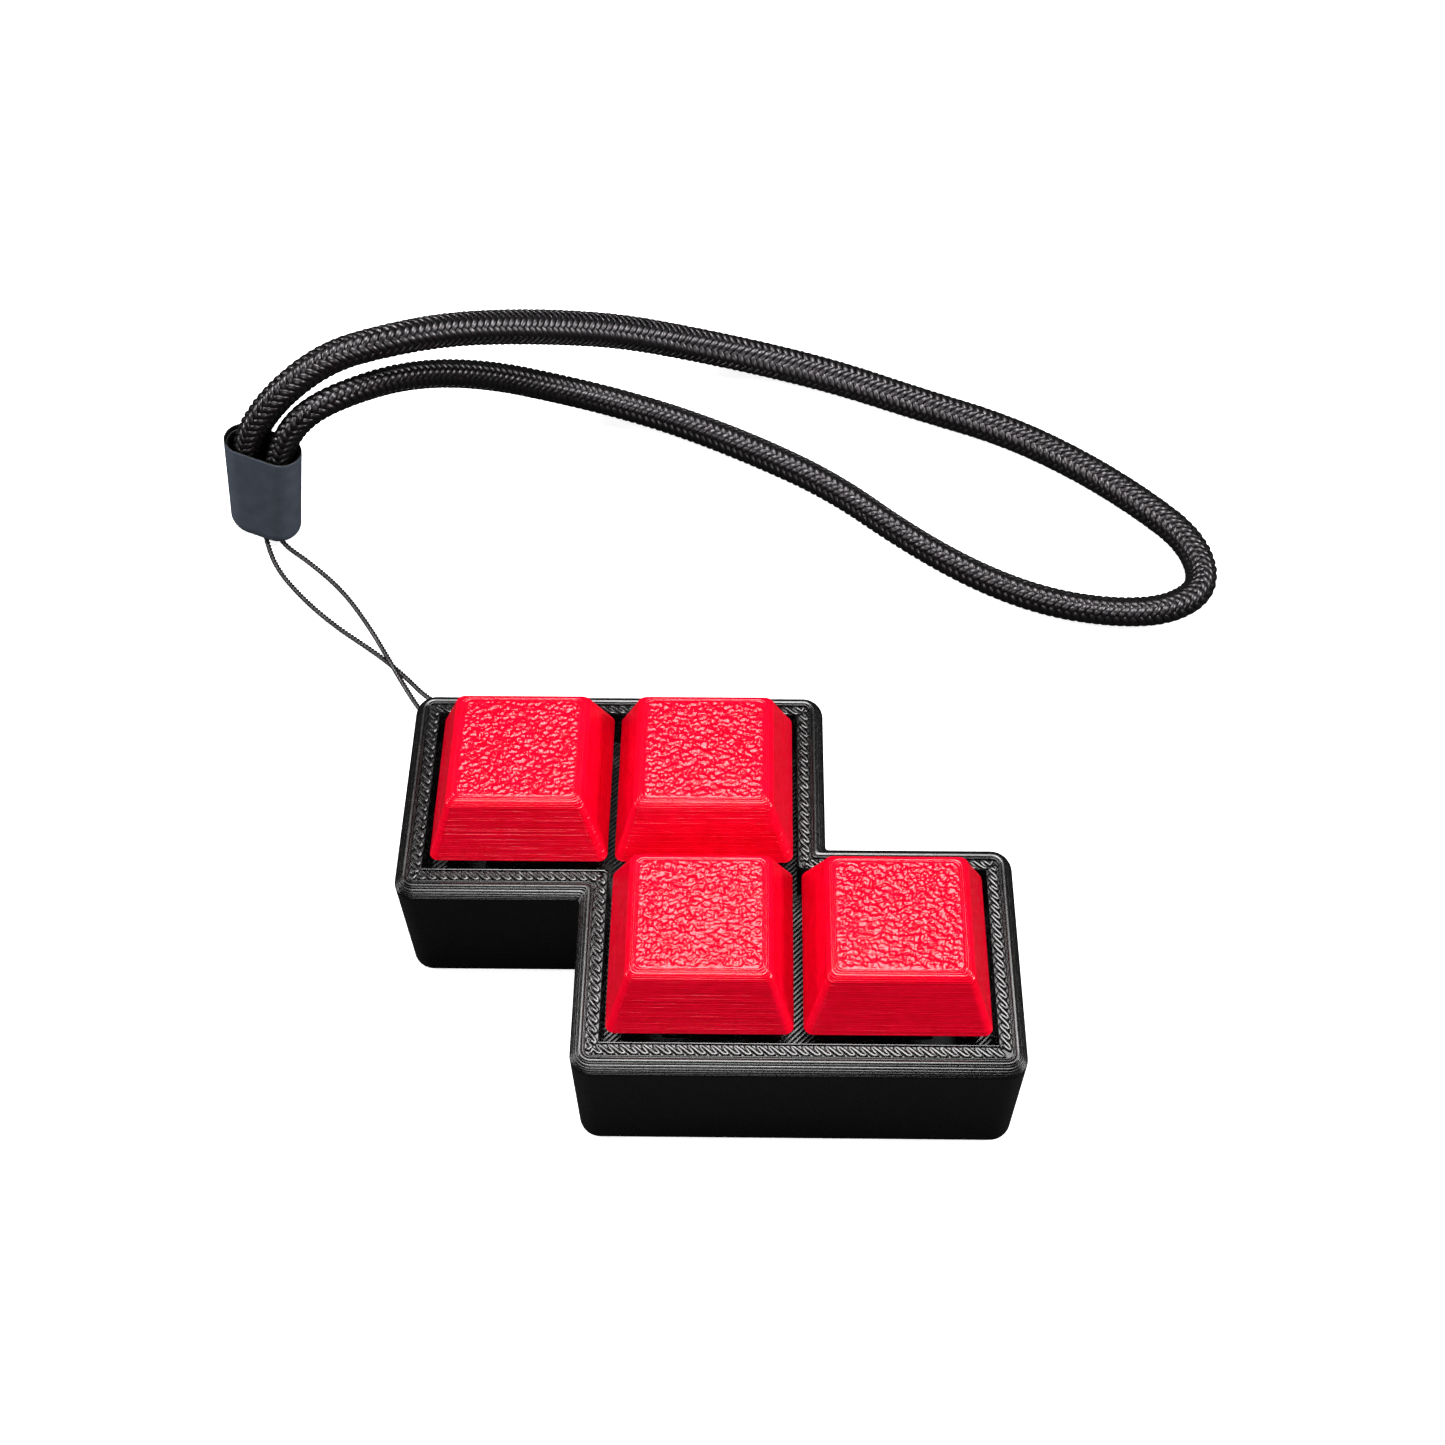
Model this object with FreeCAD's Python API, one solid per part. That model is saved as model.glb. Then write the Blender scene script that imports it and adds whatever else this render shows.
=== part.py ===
import FreeCAD, Part
import math
import os
from FreeCAD import Placement, Rotation, Vector

# A four-key clicker: a Z-shaped printed case holds four plate-mount keyboard switches with
# cross stems, and a wrist lanyard is looped through two holes in the back wall.
# Millimetres. The origin is the centre of the case's footprint, on its underside; +Z is up,
# +X is along the long side and -Y is the side that faces the user.

# Case
PITCH = 19.05                  # standard spacing of keyboard keys
KEY_CELLS = [(-1.0, 0.5), (0.0, 0.5), (0.0, -0.5), (1.0, -0.5)]   # cell centres, in pitches
CASE_HEIGHT = 17.5
WALL = 2.9
CELL_GAP = 0.15                # the cavity is this much larger than the cells, all round
CORNER_RADIUS = 2.2            # upright outer corners
INNER_CORNER_RADIUS = 0.6      # the two outer corners that point inwards
RIM_RADIUS = 1.6
FOOT_RADIUS = 1.4
PLATE_TOP = 12.0
PLATE_THICKNESS = 1.5
PLATE_HOLE = 14.0

# Base cover, held by three pegs that press into bosses under the plate
COVER_THICKNESS = 2.0
COVER_GAP = 0.1
BOSS_CENTRES = [(-0.5, 0.5), (0.0, 0.0), (0.5, -0.5)]             # in pitches
BOSS_RADIUS = 2.1
PEG_RADIUS = 1.25
PEG_GAP = 0.04
PEG_LENGTH = 4.5

# Lanyard holes through the back wall
LANYARD_HOLE_X = (-27.2, -22.6)
LANYARD_HOLE_Z = 6.0
LANYARD_HOLE_RADIUS = 1.0

# Switch, measured up from the plate's top face
BODY_HALF = 6.95
BODY_DEPTH = 5.0
FLANGE_HALF = 7.8
FLANGE_THICKNESS = 0.7
CHAMBER_HALF = 5.7
CHAMBER_FLOOR = -3.9
PIN_RADIUS = 2.0
PIN_BOTTOM = -8.3
GUIDE_BORE_RADIUS = 1.1
GUIDE_BORE_BOTTOM = -7.6
HOOK_X = 2.35
HOOK_WIDTH = 2.6
HOOK_OUTER_Y = 7.1
HOOK_INNER_Y = 6.6
HOOK_TOP = 3.0
SKIRT_TOP = 1.6
HOUSING_TOP = 6.6
CEILING = 5.6
STEM_OPENING = (3.65, 2.85)

# Stem, click jacket and spring
TRAVEL = 4.0
STEM_HALF = (3.5, 2.7)
STEM_BOTTOM = 0.7
STEM_SHOULDER = 7.5
SPRING_BORE_RADIUS = 2.2
SPRING_BORE_TOP = 3.6
POLE_RADIUS = 0.9
POLE_BOTTOM = -3.3
RAIL_REACH = 4.3
RAIL_HALF_WIDTH = 0.8
RAIL_TOP = 5.4
CROSS_LENGTH = 4.0
CROSS_ARMS = (1.3, 1.17)       # the arm along X and the arm along Y
CROSS_HEIGHT = 3.4
JACKET_OUTER = (5.1, 3.7)
JACKET_INNER = (4.45, 2.9)
JACKET_SPAN = (0.4, 2.4)
SPRING_RADIUS = 1.75
SPRING_WIRE = 0.3
SPRING_TURNS = 8
POINTS_PER_TURN = 10

# Contacts
LEAF_THICKNESS = 0.25
LEAF_Y = 4.55
FIXED_CONTACT_Y = 5.1
CONTACT_PIN_BOTTOM = -8.0

# Keycap, measured up from the plate's top face
CAP_BOTTOM = 6.1
CAP_TOP = 12.8
CAP_FOOT_HALF = 9.09
CAP_CROWN_HALF = 6.78
CAP_CROWN_SHIFT = 0.6          # the crown sits towards the back
CAP_WALL = 1.2
CAP_ROOF = 1.8
CAP_CORNER_RADIUS = 0.9
CAP_EDGE_RADIUS = 1.05
CAP_POST_RADIUS = 2.75
SOCKET_GAP = 0.03

# Lanyard
SLEEVE_FOOT = Vector(-57.2, 59.75, 0.85)    # centre of the sleeve's lower face
SLEEVE_LEAN = 10.0                          # degrees towards +X
SLEEVE_TURN = -16.0                         # degrees about its own axis
SLEEVE_LENGTH = 15.4
SLEEVE_MOUTH = (2.27, 2.56)                 # half the straight side, and the end radius
SLEEVE_NECK = (1.85, 2.62)                  # the same at the lower face
SLEEVE_WALL = 0.5
SLEEVE_FLOOR = 2.4
SLEEVE_EDGE_RADIUS = 1.2
EXIT_SLOT = (1.3, 0.8)
EXIT_GROOVE = (1.5, 0.9)                    # half its width, and its depth
BINDING_HEIGHT = 1.8
CORD_DIAMETER = 4.0
CORD_FLOOR = CORD_DIAMETER / 2 + 0.05
LOOP_DIAMETER = 0.75
CORD_RUN_SHARE = 0.45                       # how much of a run each arc takes up

# The wrist cord: out of the sleeve's mouth, over in a low arch to the table, round the
# far bend and back.
WRIST_ROUTE = [
    (-58.44, 60.31, 5.03), (-57.39, 60.31, 11.04), (-56.34, 60.45, 16.54), (-52.0, 61.8, 22.2),
    (-45.8, 65.3, 25.2), (-39.0, 67.8, 25.5), (-32.7, 72.4, 22.9), (-26.3, 77.1, 19.0),
    (-19.3, 82.3, 14.0), (-12.0, 86.6, 9.2), (-3.5, 89.0, 4.8), (6.0, 88.6, 2.5),
    (16.0, 85.6, CORD_FLOOR), (27.0, 80.6, CORD_FLOOR), (38.0, 76.0, CORD_FLOOR),
    (47.0, 70.0, CORD_FLOOR), (54.4, 63.4, CORD_FLOOR), (60.0, 57.0, CORD_FLOOR),
    (60.9, 50.0, CORD_FLOOR), (56.4, 46.2, CORD_FLOOR), (49.6, 45.5, CORD_FLOOR),
    (41.0, 47.1, CORD_FLOOR), (32.6, 51.2, CORD_FLOOR), (24.2, 57.5, CORD_FLOOR),
    (15.2, 65.9, CORD_FLOOR), (5.5, 72.0, CORD_FLOOR), (-5.0, 77.4, CORD_FLOOR),
    (-14.5, 80.2, 3.0), (-22.0, 79.5, 6.2), (-28.0, 77.0, 10.5), (-33.6, 73.1, 15.0),
    (-38.5, 68.6, 18.7), (-43.1, 64.5, 20.6), (-47.5, 61.5, 20.7), (-50.8, 60.2, 18.2),
    (-53.15, 59.25, 13.7), (-53.72, 59.19, 9.37), (-54.6, 59.19, 4.35),
]
# The thin loop: out of the sleeve's lower face, along the table, in through one lanyard
# hole, round the wall between the holes, out through the other and back.
LOOP_ROUTE = [
    (-57.3, 59.55, 3.3), (-57.15, 59.2, 1.6), (-56.9, 57.35, 0.5), (-54.8, 52.8, 0.45),
    (-50.3, 47.6, 0.45), (-45.7, 43.5, 0.45), (-41.3, 40.3, 0.45), (-37.1, 36.5, 0.8),
    (-33.2, 31.5, 2.4), (-28.2, 27.8, 4.7), (-23.3, 25.2, 6.1), (-22.6, 21.8, 6.0),
    (-22.6, 18.2, 6.0), (-27.2, 18.2, 6.0), (-27.2, 21.8, 6.0), (-29.6, 24.6, 5.6),
    (-33.4, 28.3, 4.1), (-36.0, 32.8, 2.6), (-39.0, 38.2, 1.8), (-42.1, 43.7, 0.9),
    (-46.3, 49.8, 0.45), (-51.2, 54.4, 0.45), (-54.8, 57.1, 0.5), (-56.0, 59.2, 1.6),
    (-56.15, 59.55, 3.3),
]


def box(half_x, half_y, low, high, centre=(0.0, 0.0)):
    """A block from its half sides and its lower and upper height."""
    corner = Vector(centre[0] - half_x, centre[1] - half_y, low)
    return Part.makeBox(2 * half_x, 2 * half_y, high - low, corner)


def post(radius, low, high, centre=(0.0, 0.0)):
    return Part.makeCylinder(radius, high - low, Vector(centre[0], centre[1], low))


def rounded_rectangle(half_x, half_y, radius, height, shift_y=0.0):
    """A closed wire of four lines and four quarter arcs."""
    edges = []
    inset_x, inset_y = half_x - radius, half_y - radius
    quarter = math.pi / 2
    corners = [(inset_x, inset_y), (-inset_x, inset_y), (-inset_x, -inset_y), (inset_x, -inset_y)]
    ends = []
    for step, (x, y) in enumerate(corners):
        centre = Vector(x, y + shift_y, height)
        at = [centre + Vector(radius * math.cos(a), radius * math.sin(a), 0)
              for a in (step * quarter, (step + 0.5) * quarter, (step + 1) * quarter)]
        ends.append((at[0], at[2]))
        edges.append(Part.Arc(*at).toShape())
    for (_, leave), (arrive, _) in zip(ends, ends[1:] + ends[:1]):
        edges.append(Part.LineSegment(leave, arrive).toShape())
    return Part.Wire(Part.__sortEdges__(edges))


def stadium(half_straight, radius, height):
    """A closed wire of two lines and two half circles, along X."""
    s, r = half_straight, radius
    right = Part.Arc(Vector(s, -r, height), Vector(s + r, 0, height), Vector(s, r, height))
    left = Part.Arc(Vector(-s, r, height), Vector(-s - r, 0, height), Vector(-s, -r, height))
    top = Part.LineSegment(Vector(s, r, height), Vector(-s, r, height))
    bottom = Part.LineSegment(Vector(-s, -r, height), Vector(s, -r, height))
    return Part.Wire([e.toShape() for e in (right, top, left, bottom)])


def between(lower, upper):
    """A solid with straight sides between two wires."""
    return Part.makeLoft([lower, upper], True, True)


def case_block(offset, low, high):
    """The Z-shaped footprint of the four cells, grown by offset, as a block."""
    half, side = PITCH / 2, PITCH
    points = [
        (-half - offset, -side - offset), (1.5 * side + offset, -side - offset),
        (1.5 * side + offset, offset), (half + offset, offset),
        (half + offset, side + offset), (-1.5 * side - offset, side + offset),
        (-1.5 * side - offset, -offset), (-half - offset, -offset),
    ]
    wire = Part.makePolygon([Vector(x, y, low) for x, y in points + points[:1]])
    return Part.Face(wire).extrude(Vector(0, 0, high - low))


def upright_edges(solid, inward):
    """The outer upright edges: the two that point inwards, or the other six."""
    offset = WALL + CELL_GAP
    inner = [(PITCH / 2 + offset, offset), (-PITCH / 2 - offset, -offset)]
    found = []
    for edge in solid.Edges:
        a, b = edge.Vertexes[0].Point, edge.Vertexes[-1].Point
        if abs(a.x - b.x) + abs(a.y - b.y) > 1e-6:
            continue
        is_inner = any(math.hypot(a.x - x, a.y - y) < 1e-3 for x, y in inner)
        if is_inner == inward:
            found.append(edge)
    return found


def edges_at(solid, height):
    box_of = [(edge, edge.BoundBox) for edge in solid.Edges]
    return [e for e, b in box_of if abs(b.ZMin - height) < 1e-6 and abs(b.ZMax - height) < 1e-6]


def case_body():
    block = case_block(WALL + CELL_GAP, 0, CASE_HEIGHT)
    block = block.makeFillet(CORNER_RADIUS, upright_edges(block, False))
    block = block.makeFillet(INNER_CORNER_RADIUS, upright_edges(block, True))
    block = block.makeFillet(RIM_RADIUS, edges_at(block, CASE_HEIGHT))
    block = block.makeFillet(FOOT_RADIUS, edges_at(block, 0))
    plate_bottom = PLATE_TOP - PLATE_THICKNESS
    body = block.cut(case_block(CELL_GAP, PLATE_TOP, CASE_HEIGHT + 1))
    body = body.cut(case_block(CELL_GAP, -1, plate_bottom))
    for x, y in KEY_CELLS:
        hole = box(PLATE_HOLE / 2, PLATE_HOLE / 2, 0, CASE_HEIGHT, (x * PITCH, y * PITCH))
        body = body.cut(hole)
    for x, y in BOSS_CENTRES:
        at = (x * PITCH, y * PITCH)
        body = body.fuse(post(BOSS_RADIUS, COVER_THICKNESS, plate_bottom, at))
        socket_top = COVER_THICKNESS + PEG_LENGTH + 0.5
        body = body.cut(post(PEG_RADIUS + PEG_GAP, COVER_THICKNESS, socket_top, at))
    for x in LANYARD_HOLE_X:
        start = Vector(x, PITCH - 1, LANYARD_HOLE_Z)
        body = body.cut(Part.makeCylinder(LANYARD_HOLE_RADIUS, WALL + 4, start, Vector(0, 1, 0)))
    return body.removeSplitter()


def base_cover():
    cover = case_block(CELL_GAP - COVER_GAP, 0, COVER_THICKNESS)
    for x, y in BOSS_CENTRES:
        peg = post(PEG_RADIUS, COVER_THICKNESS, COVER_THICKNESS + PEG_LENGTH, (x * PITCH, y * PITCH))
        cover = cover.fuse(peg.makeChamfer(0.3, edges_at(peg, COVER_THICKNESS + PEG_LENGTH)))
    return cover.removeSplitter()


def contact_leaf():
    """The moving contact: a springy strip with a rivet and its solder pin."""
    strip = box(1.5, LEAF_THICKNESS / 2, CHAMBER_FLOOR, 2.2, (1.9, LEAF_Y + LEAF_THICKNESS / 2))
    pin = box(0.65, 0.2, CONTACT_PIN_BOTTOM, CHAMBER_FLOOR, (2.54, LEAF_Y + 0.2))
    rivet = Part.makeCylinder(0.45, 0.2, Vector(0.9, LEAF_Y + LEAF_THICKNESS, 0.2), Vector(0, 1, 0))
    return strip.fuse([pin, rivet]).removeSplitter()


def fixed_contact():
    """The fixed contact stands behind the leaf's rivet."""
    y = FIXED_CONTACT_Y + LEAF_THICKNESS / 2
    strip = box(1.6, LEAF_THICKNESS / 2, CHAMBER_FLOOR, 0.65, (-2.0, y))
    tongue = box(1.0, LEAF_THICKNESS / 2, -0.25, 0.65, (0.5, y))
    pin = box(0.65, 0.2, CONTACT_PIN_BOTTOM, CHAMBER_FLOOR, (-2.85, FIXED_CONTACT_Y + 0.2))
    return strip.fuse([tongue, pin]).removeSplitter()


def switch_base():
    """The lower housing: it drops through the plate and carries the latch hooks."""
    body = box(BODY_HALF, BODY_HALF, -BODY_DEPTH, 0)
    body = body.makeChamfer(0.8, edges_at(body, -BODY_DEPTH))
    base = body.fuse(box(FLANGE_HALF, FLANGE_HALF, 0, FLANGE_THICKNESS))
    base = base.cut(box(CHAMBER_HALF, CHAMBER_HALF, CHAMBER_FLOOR, FLANGE_THICKNESS + 1))
    base = base.fuse(post(PIN_RADIUS, PIN_BOTTOM, -BODY_DEPTH))
    base = base.cut(post(GUIDE_BORE_RADIUS, GUIDE_BORE_BOTTOM, CHAMBER_FLOOR))
    for pin_x, pin_y in ((2.54, LEAF_Y + 0.2), (-2.85, FIXED_CONTACT_Y + 0.2)):
        base = base.cut(box(0.7, 0.25, -BODY_DEPTH - 1, CHAMBER_FLOOR, (pin_x, pin_y)))
    for side in (-1, 1):
        clip = box(1.6, 0.35, -2.6, -PLATE_THICKNESS - 0.05, (0, side * BODY_HALF))
        base = base.fuse(clip.cut(box(CHAMBER_HALF, CHAMBER_HALF, -3, 0)))
        for x in (-HOOK_X, HOOK_X):
            middle = side * (HOOK_OUTER_Y + HOOK_INNER_Y) / 2
            half = (HOOK_OUTER_Y - HOOK_INNER_Y) / 2
            arm = box(HOOK_WIDTH / 2, half, FLANGE_THICKNESS, HOOK_TOP, (x, middle))
            nose = box(HOOK_WIDTH / 2, 0.25, HOOK_TOP - 0.5, HOOK_TOP, (x, side * (HOOK_INNER_Y - 0.1)))
            base = base.fuse([arm, nose])
    return base.removeSplitter()


def switch_top():
    """The clear upper housing, with slots for the hooks and an opening for the stem."""
    skirt = box(FLANGE_HALF, FLANGE_HALF, FLANGE_THICKNESS, SKIRT_TOP)
    upper = between(rounded_rectangle(7.25, 6.3, 0.6, SKIRT_TOP),
                    rounded_rectangle(5.2, 4.8, 0.6, HOUSING_TOP))
    hollow = between(rounded_rectangle(6.3, 5.6, 0.4, FLANGE_THICKNESS),
                     rounded_rectangle(4.6, 4.1, 0.4, CEILING))
    top = skirt.fuse(upper).cut(hollow)
    top = top.cut(box(STEM_OPENING[0], STEM_OPENING[1], CEILING - 0.5, HOUSING_TOP + 1))
    for side in (-1, 1):
        for x in (-HOOK_X, HOOK_X):
            middle = side * (HOOK_OUTER_Y + HOOK_INNER_Y) / 2
            slot = box(HOOK_WIDTH / 2 + 0.1, 0.5, FLANGE_THICKNESS, HOOK_TOP + 0.1, (x, middle))
            top = top.cut(slot)
    return top.removeSplitter()


def switch_stem():
    """The sliding stem: a hollow block with stop rails, a guide pole and the cross."""
    block = box(STEM_HALF[0], STEM_HALF[1], STEM_BOTTOM, STEM_SHOULDER)
    rails = box(RAIL_REACH, RAIL_HALF_WIDTH, STEM_BOTTOM, RAIL_TOP)
    stem = block.fuse(rails).cut(post(SPRING_BORE_RADIUS, STEM_BOTTOM, SPRING_BORE_TOP))
    pole = post(POLE_RADIUS, POLE_BOTTOM, SPRING_BORE_TOP)
    cross_top = STEM_SHOULDER + CROSS_HEIGHT
    arms = [box(CROSS_LENGTH / 2, CROSS_ARMS[0] / 2, STEM_SHOULDER, cross_top),
            box(CROSS_ARMS[1] / 2, CROSS_LENGTH / 2, STEM_SHOULDER, cross_top)]
    return stem.fuse([pole] + arms).removeSplitter()


def click_jacket():
    """The loose collar round the stem that snaps down and makes the click."""
    ring = box(JACKET_OUTER[0], JACKET_OUTER[1], *JACKET_SPAN)
    ring = ring.cut(box(JACKET_INNER[0], JACKET_INNER[1], 0, 5))
    nose = box(0.9, 0.3, JACKET_SPAN[0], JACKET_SPAN[0] + 1.0, (1.9, JACKET_OUTER[1] + 0.25))
    return ring.fuse(nose).removeSplitter()


def return_spring():
    """A coil spring from the lower housing's floor to the stem's inner ceiling."""
    end_gap = SPRING_WIRE / 2 + 0.02
    low, high = CHAMBER_FLOOR + end_gap, SPRING_BORE_TOP - end_gap
    steps = SPRING_TURNS * POINTS_PER_TURN
    points = []
    for step in range(steps + 1):
        angle = 2 * math.pi * step / POINTS_PER_TURN
        height = low + (high - low) * step / steps
        points.append(Vector(SPRING_RADIUS * math.cos(angle), SPRING_RADIUS * math.sin(angle), height))
    coil = Part.BSplineCurve()
    coil.interpolate(points)
    section = Part.Wire(Part.makeCircle(SPRING_WIRE / 2, points[0], Vector(0, 1, 0)))
    return Part.Wire(coil.toShape()).makePipeShell([section], True, True)


def keycap():
    """A four-sided cap with a rounded crown, hollow below, on a cross-socket post."""
    wall_x = CAP_FOOT_HALF - CAP_WALL
    roof = CAP_TOP - CAP_ROOF
    share = (roof - CAP_BOTTOM) / (CAP_TOP - CAP_BOTTOM)
    hollow_half = wall_x - share * (CAP_FOOT_HALF - CAP_CROWN_HALF)
    outer = between(
        rounded_rectangle(CAP_FOOT_HALF, CAP_FOOT_HALF, CAP_CORNER_RADIUS, CAP_BOTTOM),
        rounded_rectangle(CAP_CROWN_HALF, CAP_CROWN_HALF, CAP_CORNER_RADIUS, CAP_TOP, CAP_CROWN_SHIFT))
    outer = outer.makeFillet(CAP_EDGE_RADIUS, edges_at(outer, CAP_TOP))
    hollow = between(
        rounded_rectangle(wall_x, wall_x, 0.5, CAP_BOTTOM),
        rounded_rectangle(hollow_half, hollow_half, 0.5, roof, share * CAP_CROWN_SHIFT))
    cap = outer.cut(hollow).fuse(post(CAP_POST_RADIUS, STEM_SHOULDER, roof))
    reach = CROSS_LENGTH / 2 + SOCKET_GAP
    socket = [box(reach, CROSS_ARMS[0] / 2 + SOCKET_GAP, STEM_SHOULDER, roof),
              box(CROSS_ARMS[1] / 2 + SOCKET_GAP, reach, STEM_SHOULDER, roof)]
    for arm in socket:
        cap = cap.cut(arm)
    return cap.removeSplitter()


def in_sleeve(shape):
    """Moves a shape from the sleeve's own frame, whose Z is its axis, to its place."""
    moved = shape.copy()
    lean = Rotation(Vector(0, 1, 0), SLEEVE_LEAN)
    turn = Rotation(Vector(0, 0, 1), SLEEVE_TURN)
    moved.Placement = Placement(SLEEVE_FOOT, lean * turn)
    return moved


def lanyard_sleeve():
    """A rubber sleeve with a deep pocket, and a slot below for the thin loop."""
    outer = between(stadium(*SLEEVE_NECK, 0), stadium(*SLEEVE_MOUTH, SLEEVE_LENGTH))
    outer = outer.makeFillet(SLEEVE_EDGE_RADIUS, edges_at(outer, 0))
    neck = (SLEEVE_NECK[0], SLEEVE_NECK[1] - SLEEVE_WALL)
    mouth = (SLEEVE_MOUTH[0], SLEEVE_MOUTH[1] - SLEEVE_WALL)
    pocket = between(stadium(*neck, SLEEVE_FLOOR), stadium(*mouth, SLEEVE_LENGTH + 0.01))
    slot = box(EXIT_SLOT[0], EXIT_SLOT[1], -1, SLEEVE_FLOOR + 0.1)
    groove = box(EXIT_GROOVE[0], 3, -1, EXIT_GROOVE[1], (0.6, EXIT_SLOT[1] - 3))
    return in_sleeve(outer.cut(pocket).cut(slot).cut(groove).removeSplitter())


def cord_binding():
    """The stitched and heat-set block that joins the cord's two ends to the thin loop."""
    neck_half, neck_radius = SLEEVE_NECK[0], SLEEVE_NECK[1] - SLEEVE_WALL - 0.05
    high = SLEEVE_FLOOR + BINDING_HEIGHT
    return in_sleeve(between(stadium(neck_half, neck_radius, SLEEVE_FLOOR),
                             stadium(neck_half, neck_radius, high)))


def tube(name, route, diameter):
    """A tube along straight runs joined by tangent arcs, as large as the runs allow."""
    points = [Vector(*p) for p in route]
    edges, at, radii = [], points[0], []
    for before, corner, after in zip(points, points[1:], points[2:]):
        back, ahead = (before - corner), (after - corner)
        reach = CORD_RUN_SHARE * min(back.Length, ahead.Length)
        back.normalize()
        ahead.normalize()
        turn = math.pi - back.getAngle(ahead)
        radius = reach / math.tan(turn / 2)
        radii.append(radius)
        middle = back + ahead
        middle.normalize()
        inward = middle * (radius / math.cos(turn / 2) - radius)
        start, end = corner + back * reach, corner + ahead * reach
        edges.append(Part.LineSegment(at, start).toShape())
        edges.append(Part.Arc(start, corner + inward, end).toShape())
        at = end
    edges.append(Part.LineSegment(at, points[-1]).toShape())
    path = Part.Wire(edges)
    section = Part.Wire(Part.makeCircle(diameter / 2, points[0], points[1] - points[0]))
    solid = path.makePipeShell([section], True, True)
    expected = math.pi * diameter ** 2 / 4 * path.Length
    print(f"{name}: length {path.Length:.1f}, volume {solid.Volume:.1f} of {expected:.1f}, "
          f"radii {' '.join(f'{r:.1f}' for r in radii)}, lowest {solid.BoundBox.ZMin:.3f}")
    return solid


def write(name, shape):
    shape.exportStep(f"parts/{name}.step")
    size = shape.BoundBox
    print(f"{name}: valid {shape.isValid()}, solids {len(shape.Solids)}, volume {shape.Volume:.2f}, "
          f"z {size.ZMin:.2f} to {size.ZMax:.2f}")


def main():
    os.makedirs("parts", exist_ok=True)
    write("case_body", case_body())
    write("base_cover", base_cover())
    key_parts = {
        "keycap": keycap(), "switch_stem": switch_stem(), "click_jacket": click_jacket(),
        "return_spring": return_spring(), "switch_base": switch_base(),
        "switch_top": switch_top(), "contact_leaf": contact_leaf(),
        "fixed_contact": fixed_contact(),
    }
    for number, (x, y) in enumerate(KEY_CELLS, start=1):
        for name, shape in key_parts.items():
            placed = shape.copy()
            placed.translate(Vector(x * PITCH, y * PITCH, PLATE_TOP))
            write(f"{name}_{number}", placed)
    write("lanyard_sleeve", lanyard_sleeve())
    write("cord_binding", cord_binding())
    write("wrist_cord", tube("wrist_cord", WRIST_ROUTE, CORD_DIAMETER))
    write("loop_cord", tube("loop_cord", LOOP_ROUTE, LOOP_DIAMETER))


main()
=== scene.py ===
import math

import bmesh
import bpy
import numpy as np
from mathutils import Matrix, Vector, noise


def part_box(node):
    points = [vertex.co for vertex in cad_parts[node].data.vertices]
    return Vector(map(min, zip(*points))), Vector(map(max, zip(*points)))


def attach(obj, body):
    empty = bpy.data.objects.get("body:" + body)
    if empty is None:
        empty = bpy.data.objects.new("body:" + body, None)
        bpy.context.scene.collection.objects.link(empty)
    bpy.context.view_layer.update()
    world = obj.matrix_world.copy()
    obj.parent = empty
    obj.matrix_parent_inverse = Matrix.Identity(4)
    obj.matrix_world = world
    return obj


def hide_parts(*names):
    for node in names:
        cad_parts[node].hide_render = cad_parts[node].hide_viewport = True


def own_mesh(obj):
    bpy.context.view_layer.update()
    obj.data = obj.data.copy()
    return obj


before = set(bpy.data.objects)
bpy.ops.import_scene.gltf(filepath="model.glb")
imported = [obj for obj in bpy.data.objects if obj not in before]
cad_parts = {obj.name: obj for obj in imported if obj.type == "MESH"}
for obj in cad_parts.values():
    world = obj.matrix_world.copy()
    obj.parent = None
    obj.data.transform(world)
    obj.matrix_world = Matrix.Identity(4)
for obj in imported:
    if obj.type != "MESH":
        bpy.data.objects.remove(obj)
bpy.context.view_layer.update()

# A four-key clicker in a Z-shaped printed case, with a braided wrist lanyard.
# Lengths in this script are millimetres. MM turns them into Blender's metres.
MM = 0.001


def node_box(name):
    """A node's lowest and highest corners, in millimetres."""
    low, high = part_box(name)
    return np.array(low) / MM, np.array(high) / MM


KEYS = (1, 2, 3, 4)
KEY_CENTRES = {key: sum(node_box(f"switch_base_{key}"))[:2] / 2 for key in KEYS}
CASE_LOW, CASE_HIGH = node_box("case_body")

# Case
PITCH = KEY_CENTRES[2][0] - KEY_CENTRES[1][0]
CASE_TOP = CASE_HIGH[2]
CAVITY = 0.15                      # the cavity is this much larger than the key cells
OUTSIDE = CASE_HIGH[0] - 1.5 * PITCH
PLATE_TOP = node_box("switch_top_1")[0][2] - 0.7
PLATE_BOTTOM = PLATE_TOP - 1.5
PLATE_HOLE = 14.0
LAYER = 0.2                        # the case's printed layers
RIM_RADIUS = 1.6
FOOT_RADIUS = 1.4
RIM_LEDGE = 0.86                   # from the outer face to the edge of the top layer
BEAD = 0.4                         # width of one printed line
CORNER_RADIUS = 2.2
BAND_END = 1.46                    # where the filled band of the rim meets its outer line
LANYARD_HOLES = (-27.2, -22.6)     # along X, through the back wall
LANYARD_HOLE_HEIGHT = 6.0
LANYARD_HOLE_RADIUS = 1.0

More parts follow.
